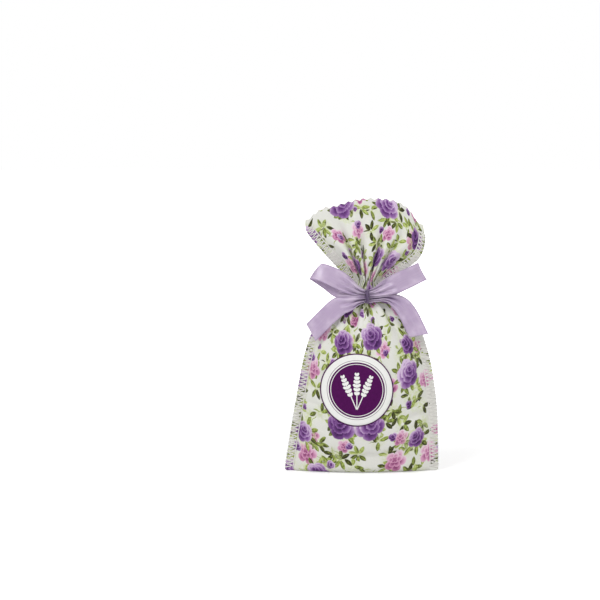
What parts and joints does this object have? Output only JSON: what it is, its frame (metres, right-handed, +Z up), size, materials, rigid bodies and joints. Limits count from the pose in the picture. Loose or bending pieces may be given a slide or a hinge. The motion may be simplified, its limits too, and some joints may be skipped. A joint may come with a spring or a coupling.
{
  "type": "lavender sachet",
  "caption": "Cotton sachet of dried lavender: a printed pouch gathered at the neck by a satin bow, with a pleated ruff above it and a round paper label on its front.",
  "frame": {"origin": "middle of the flat base that the sachet stands on", "axes": "+Z up from the base to the ruff, the labelled front and the bow face -Y, +X to the right seen from the front"},
  "size_m": [0.0856, 0.0318, 0.1502],
  "materials": {
    "printed_cotton": "matte",
    "lavender_buds": "matte",
    "overlock_thread": "matte",
    "satin_ribbon": "satin",
    "label_paper": "satin"
  },
  "bodies": {
    "pouch": {"pouch_cloth": "printed_cotton", "lavender_filling": "lavender_buds", "left_seam_thread": "overlock_thread", "right_seam_thread": "overlock_thread", "neck_ribbon_wrap": "satin_ribbon", "bow_knot": "satin_ribbon", "round_label": "label_paper"},
    "ruff": {"ruff_cloth": "printed_cotton", "left_ruff_thread": "overlock_thread", "right_ruff_thread": "overlock_thread"},
    "left_loop": {"left_bow_loop": "satin_ribbon"},
    "right_loop": {"right_bow_loop": "satin_ribbon"},
    "left_tail": {"left_ribbon_tail": "satin_ribbon"},
    "right_tail": {"right_ribbon_tail": "satin_ribbon"}
  },
  "joints": [
    {"name": "ruff_tilt", "type": "hinge", "parent": "pouch", "child": "ruff", "pos_m": [0.0026, 0, 0.1023], "axis": [-1, 0, 0], "range_deg": [-6, 40], "stiffness_Nm_per_rad": 0.004},
    {"name": "left_loop_flap", "type": "hinge", "parent": "pouch", "child": "left_loop", "pos_m": [-0.0007, -0.0102, 0.0993], "axis": [0.4226, 0, 0.9063], "range_deg": [0, 40], "stiffness_Nm_per_rad": 0.0002},
    {"name": "right_loop_flap", "type": "hinge", "parent": "pouch", "child": "right_loop", "pos_m": [0.0059, -0.0102, 0.0993], "axis": [0.4226, 0, -0.9063], "range_deg": [0, 40], "stiffness_Nm_per_rad": 0.0002},
    {"name": "left_tail_lift", "type": "hinge", "parent": "pouch", "child": "left_tail", "pos_m": [-0.0007, -0.0102, 0.0941], "axis": [-0.3987, 0, 0.9171], "range_deg": [0, 40], "stiffness_Nm_per_rad": 0.0002},
    {"name": "right_tail_lift", "type": "hinge", "parent": "pouch", "child": "right_tail", "pos_m": [0.0059, -0.0102, 0.0941], "axis": [-0.2, 0, -0.9798], "range_deg": [0, 40], "stiffness_Nm_per_rad": 0.0002}
  ]
}
